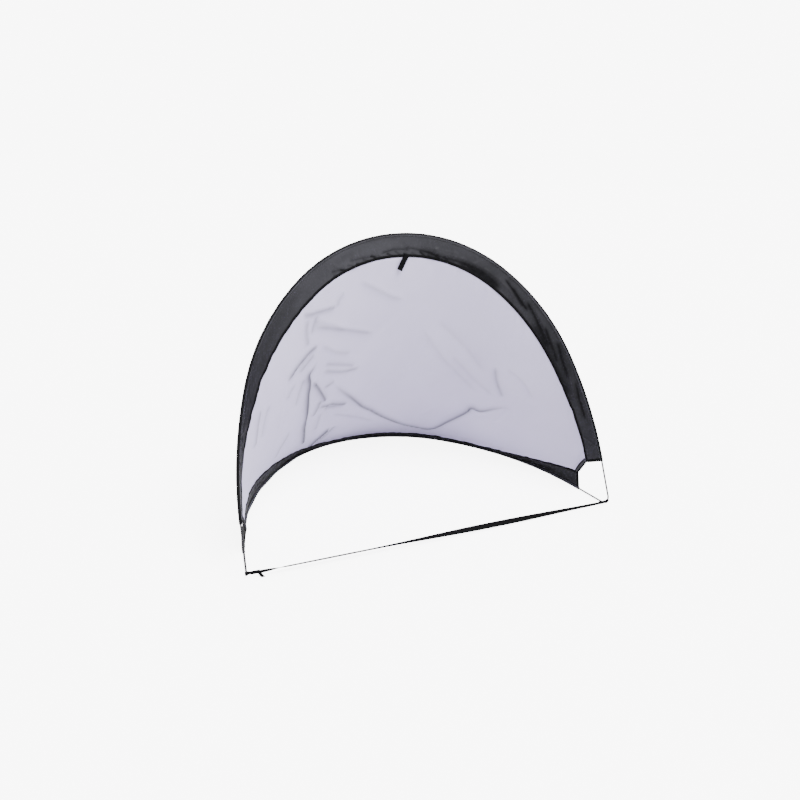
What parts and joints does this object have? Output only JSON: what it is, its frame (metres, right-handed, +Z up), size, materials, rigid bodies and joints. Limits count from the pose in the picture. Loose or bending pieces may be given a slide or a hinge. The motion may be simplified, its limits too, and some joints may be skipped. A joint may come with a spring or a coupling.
{
  "type": "pop-up sports goal with net",
  "caption": "Self-standing pop-up goal: sprung wire arch mouth and ground arc with black fabric bands, a pale net between them, a ground strap and peg loops.",
  "frame": {"origin": "middle of the bounding box's base, on the ground", "axes": "+X across the mouth from the left corner to the right as seen from the front, +Y from the mouth to the back, +Z up"},
  "size_m": [1.1062, 0.8074, 0.8039],
  "materials": {
    "spring_steel": "bare drawn spring wire, slightly dull",
    "crimp_steel": "plain crimped tube",
    "black_satin": "black woven polyester with a satin sheen",
    "black_binding": "matte black woven binding tape",
    "net_mesh": "very fine pale lavender-grey knitted mesh",
    "black_webbing": "matte black webbing"
  },
  "bodies": {
    "ground_frame": {"rear_wire_left": "spring_steel", "rear_wire_right": "spring_steel", "corner_bend_left": "spring_steel", "corner_bend_right": "spring_steel", "wire_ferrule": "crimp_steel", "rear_wire_casing": "black_binding", "rear_band": "black_satin", "rear_seam_tape": "black_binding", "rear_hem_left": "black_binding", "rear_hem_right": "black_binding", "corner_tape_left": "black_binding", "corner_tape_right": "black_binding", "net_panel": "net_mesh", "ground_strap": "black_webbing", "strap_loop_left": "black_webbing", "strap_loop_right": "black_webbing", "strap_tail": "black_webbing", "peg_loop_left": "black_webbing", "peg_loop_right": "black_webbing"},
    "front_arch": {"front_arch_wire": "spring_steel", "front_wire_casing": "black_binding", "front_band": "black_satin", "front_seam_tape": "black_binding", "front_hem_left": "black_binding", "front_hem_right": "black_binding", "top_tab": "black_webbing"}
  },
  "joints": [
    {"name": "front_arch_fold", "type": "hinge", "parent": "ground_frame", "child": "front_arch", "pos_m": [0, -0.37502, 0.02621], "axis": [-1, 0, 0], "range_deg": [0, 66], "stiffness_Nm_per_rad": 2.5, "springref_deg": -57.3, "deforming": ["front_band", "front_seam_tape", "front_hem_left", "front_hem_right", "top_tab"]}
  ]
}
